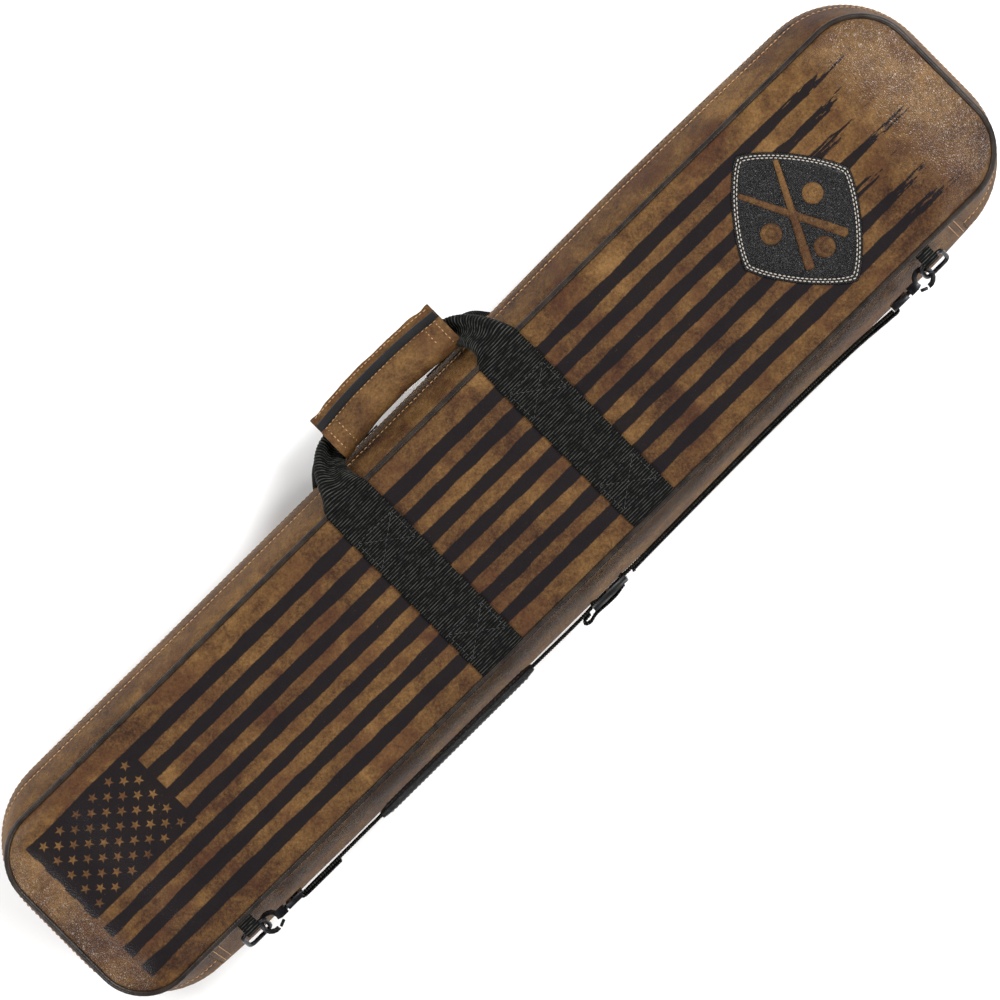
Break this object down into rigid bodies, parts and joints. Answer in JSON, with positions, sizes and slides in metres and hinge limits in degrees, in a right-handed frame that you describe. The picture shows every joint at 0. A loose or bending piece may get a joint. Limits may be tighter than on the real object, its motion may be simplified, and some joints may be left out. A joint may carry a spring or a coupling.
{
  "type": "cue case",
  "caption": "Soft butterfly cue case: two zipped padded halves with foam cue cradles, a wrapped carry handle and a clip-on shoulder sling.",
  "frame": {"origin": "centre of the flat back face that the closed case lies on", "axes": "+X along the case, towards the end with the emblem; +Y towards the carry handle; +Z from the back to the printed front"},
  "size_m": [0.855, 0.2384, 0.106],
  "materials": {
    "printed_vinyl": "satin, distressed brown with a dark print",
    "brown_vinyl": "satin, distressed brown",
    "piping_vinyl": "satin, charcoal brown",
    "core_board": "matt fibre board",
    "lining": "brushed tricot",
    "foam": "flocked foam",
    "elastic": "ribbed elastic",
    "zip_tape": "woven polyester",
    "zip_coil": "nylon coil",
    "zip_metal": "black enamel",
    "emblem_leather": "smooth near-black leather",
    "pad_leather": "smooth charcoal",
    "black_plastic": "moulded",
    "hook_and_loop": "hook and loop pile",
    "black_metal": "black enamel",
    "webbing": "ribbed woven nylon"
  },
  "bodies": {
    "rear_half": {"rear_core_board": "core_board", "rear_cue_cradle": "foam", "rear_gusset": "brown_vinyl", "rear_liner": "lining", "rear_panel": "brown_vinyl", "rear_piping": "piping_vinyl", "rear_retainer_band_1": "elastic", "rear_retainer_band_2": "elastic", "rear_spine_leaf": "brown_vinyl", "rear_strap_left": "webbing", "rear_strap_right": "webbing", "rear_zip_coil": "zip_coil", "rear_zip_tape": "zip_tape"},
    "front_half": {"emblem_patch": "emblem_leather", "front_core_board": "core_board", "front_cue_cradle": "foam", "front_gusset": "brown_vinyl", "front_liner": "lining", "front_panel": "printed_vinyl", "front_piping": "piping_vinyl", "front_retainer_band_1": "elastic", "front_retainer_band_2": "elastic", "front_spine_leaf": "brown_vinyl", "front_strap_left": "webbing", "front_strap_right": "webbing", "front_zip_coil": "zip_coil", "front_zip_tape": "zip_tape", "left_ring_tab": "webbing", "right_ring_tab": "webbing"},
    "front_handle": {"front_handle_webbing": "webbing", "grip_hook_strip": "hook_and_loop", "grip_loop_strip": "hook_and_loop", "grip_pad": "foam", "grip_wrap": "brown_vinyl"},
    "rear_handle": {"rear_handle_webbing": "webbing"},
    "sling": {"left_hook": "black_metal", "left_ring": "black_metal", "left_swivel_eye": "black_metal", "right_hook": "black_metal", "right_ring": "black_metal", "right_swivel_eye": "black_metal", "sling_adjuster": "black_plastic", "sling_pad": "pad_leather", "sling_return": "webbing", "sling_webbing": "webbing"},
    "left_hook_gate": {"left_hook_gate": "black_metal"},
    "right_hook_gate": {"right_hook_gate": "black_metal"},
    "left_slider": {"left_zip_slider": "zip_metal"},
    "right_slider": {"right_zip_slider": "zip_metal"},
    "left_pull": {"left_zip_pull": "zip_metal"},
    "right_pull": {"right_zip_pull": "zip_metal"}
  },
  "joints": [
    {"name": "lid_hinge", "type": "hinge", "parent": "rear_half", "child": "front_half", "pos_m": [0, -0.0955, 0.053], "axis": [1, 0, 0], "range_deg": [0, 180]},
    {"name": "front_handle_fold", "type": "hinge", "parent": "front_half", "child": "front_handle", "pos_m": [0, 0.0575, 0.1062], "axis": [-1, 0, 0], "range_deg": [-165, 0]},
    {"name": "rear_handle_fold", "type": "hinge", "parent": "rear_half", "child": "rear_handle", "pos_m": [0, 0.0815, 0.003], "axis": [1, 0, 0], "range_deg": [-52, 0]},
    {"name": "sling_swing", "type": "hinge", "parent": "front_half", "child": "sling", "pos_m": [0, -0.0875, 0.0985], "axis": [1, 0, 0], "range_deg": [-90, 0]},
    {"name": "left_gate_spring", "type": "hinge", "parent": "sling", "child": "left_hook_gate", "pos_m": [-0.3075, -0.0991, 0.088], "axis": [0, 0, 1], "range_deg": [-20, 0], "stiffness_Nm_per_rad": 0.01},
    {"name": "right_gate_spring", "type": "hinge", "parent": "sling", "child": "right_hook_gate", "pos_m": [0.3075, -0.0991, 0.088], "axis": [0, 0, -1], "range_deg": [-20, 0], "stiffness_Nm_per_rad": 0.01},
    {"name": "left_slider_travel", "type": "slide", "parent": "rear_half", "child": "left_slider", "axis": [1, 0, 0], "range_m": [-0.29, 0]},
    {"name": "right_slider_travel", "type": "slide", "parent": "rear_half", "child": "right_slider", "axis": [1, 0, 0], "range_m": [0, 0.29]},
    {"name": "left_pull_swing", "type": "hinge", "parent": "left_slider", "child": "left_pull", "pos_m": [-0.054, 0.09615, 0.053], "axis": [0, 0, 1], "range_deg": [0, 18]},
    {"name": "right_pull_swing", "type": "hinge", "parent": "right_slider", "child": "right_pull", "pos_m": [0.054, 0.09615, 0.053], "axis": [0, 0, -1], "range_deg": [0, 18]}
  ]
}
